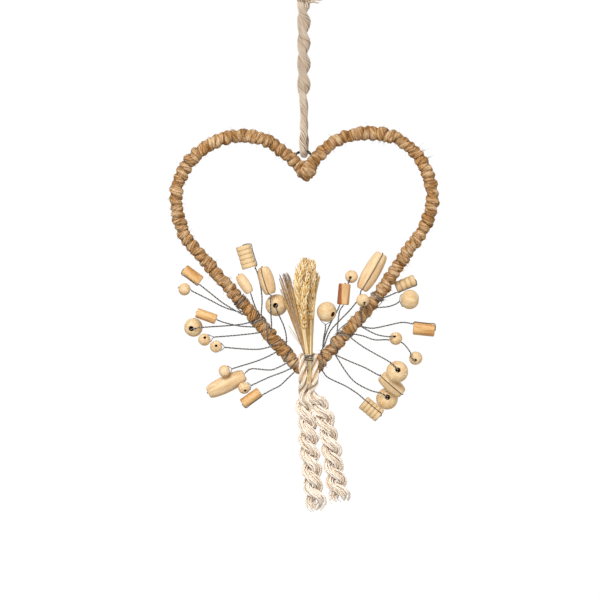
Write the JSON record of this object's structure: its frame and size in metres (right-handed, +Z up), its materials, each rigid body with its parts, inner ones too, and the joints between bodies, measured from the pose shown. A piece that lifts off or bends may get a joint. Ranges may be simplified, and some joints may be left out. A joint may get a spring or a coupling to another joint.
{
  "type": "beaded heart decoration",
  "caption": "Jute wrapped heart on a twisted cotton cord, with wooden beads on twisted wire stems, a small dried wheat bunch and a two-tailed rope tassel.",
  "frame": {"origin": "inner top of the hanging loop, where a nail or hook carries it", "axes": "+Z up, the heart stands in the XZ plane, its front faces -Y and +X is to the right of someone looking at the front"},
  "size_m": [0.2026, 0.0367, 0.4169],
  "materials": {
    "jute": "rough twine wound in close turns, with loose fibres",
    "wood": "smooth pale turned wood with a fine grain and a faint varnish",
    "stem_wire": "dark annealed wire, two strands twisted",
    "cotton": "soft natural cotton rope, loosely twisted strands",
    "dried_grass": "dry straw and ears, golden, matte with a slight sheen"
  },
  "bodies": {
    "root": {"bead_left_ball_bottom": "wood", "bead_left_ball_inside": "wood", "bead_left_ball_low": "wood", "bead_left_ball_middle": "wood", "bead_left_ball_outer": "wood", "bead_left_ball_over_oval": "wood", "bead_left_ball_top": "wood", "bead_left_barrel": "wood", "bead_left_cylinder_bottom": "wood", "bead_left_cylinder_middle": "wood", "bead_left_cylinder_top": "wood", "bead_left_long_oval": "wood", "bead_left_ribbed": "wood", "bead_left_short_oval": "wood", "bead_right_ball_behind": "wood", "bead_right_ball_inside": "wood", "bead_right_ball_middle": "wood", "bead_right_ball_on_tube": "wood", "bead_right_ball_outer": "wood", "bead_right_ball_top": "wood", "bead_right_cylinder_inside": "wood", "bead_right_cylinder_outer": "wood", "bead_right_disc_back": "wood", "bead_right_disc_front": "wood", "bead_right_long_oval": "wood", "bead_right_oval": "wood", "bead_right_ribbed_bottom": "wood", "bead_right_ribbed_top": "wood", "grass_plume": "dried_grass", "hanging_cord": "cotton", "hanging_knot": "cotton", "hanging_loop": "cotton", "jute_heart": "jute", "stem_wire_left": "stem_wire", "stem_wire_right": "stem_wire", "tassel_rope_left": "cotton", "tassel_rope_right": "cotton", "wheat_binding": "stem_wire", "wheat_ear_front": "dried_grass", "wheat_ear_left": "dried_grass", "wheat_ear_right": "dried_grass", "wheat_leaf": "dried_grass", "wire_eye": "stem_wire"}
  },
  "joints": []
}
